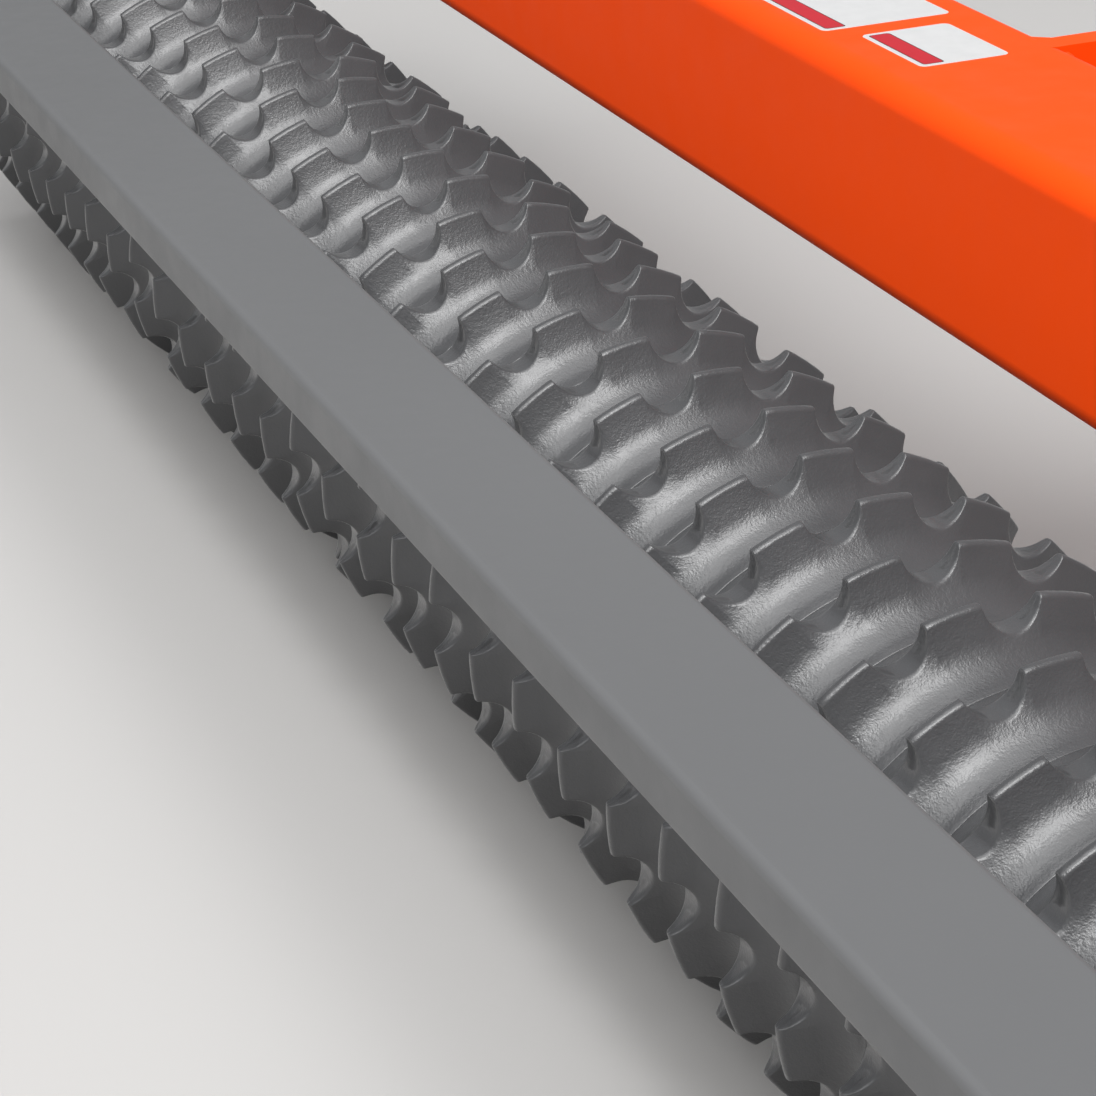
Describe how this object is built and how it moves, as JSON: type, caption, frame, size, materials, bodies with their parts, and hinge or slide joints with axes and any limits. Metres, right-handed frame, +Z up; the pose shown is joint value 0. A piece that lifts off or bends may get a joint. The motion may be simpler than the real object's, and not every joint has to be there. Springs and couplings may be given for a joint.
{
  "type": "pull-type cultipacker",
  "caption": "Pull-type cultipacker: a gang of notched cast rings on one shaft under a square tube beam, with a flat rear bar, drawbar tongue, clevis and parking jack.",
  "frame": {"origin": "on the ground, below the middle of the machine's own bounding box", "axes": "+X across the machine to its right, +Y forward to the hitch, +Z up"},
  "size_m": [3.8982, 2.4122, 0.84],
  "materials": {
    "grey_casting": "glossy dark grey enamel on slightly pitted castings",
    "grey_paint": "satin grey powder coat",
    "orange_paint": "satin orange powder coat",
    "bearing_casting": "dark grey enamel on castings",
    "black_steel": "satin black paint",
    "bright_steel": "zinc-plated and machined steel",
    "grip_rubber": "moulded black grip"
  },
  "bodies": {
    "root": {"main_beam": "orange_paint", "rear_bar": "grey_paint", "tongue": "orange_paint", "nose_plate": "orange_paint", "hitch_clevis": "black_steel", "jack_mount": "orange_paint", "bearings": "bearing_casting", "beam_flange_left": "orange_paint", "beam_flange_right": "orange_paint", "hanger_left": "grey_paint", "hanger_right": "grey_paint", "cheek_plate_left": "orange_paint", "cheek_plate_right": "orange_paint"},
    "roller": {"rings_even": "grey_casting", "rings_odd": "grey_casting", "shaft": "bright_steel", "clamp_collars": "grey_casting", "lock_nuts": "black_steel"},
    "jack": {"jack_tube": "black_steel", "jack_cap": "black_steel", "jack_crank": "bright_steel", "jack_grip": "grip_rubber"},
    "jack_leg": {"jack_leg": "bright_steel", "jack_foot": "black_steel"}
  },
  "joints": [
    {"name": "roller_spin", "type": "hinge", "parent": "root", "child": "roller", "pos_m": [0, -0.83105, 0.2032], "axis": [1, 0, 0], "continuous": true},
    {"name": "jack_swing", "type": "hinge", "parent": "root", "child": "jack", "pos_m": [-0.1235, 0.59605, 0.484], "axis": [-1, 0, 0], "range_deg": [0, 90]},
    {"name": "jack_slide", "type": "slide", "parent": "jack", "child": "jack_leg", "axis": [0, 0, 1], "range_m": [-0.12, 0.26]}
  ]
}
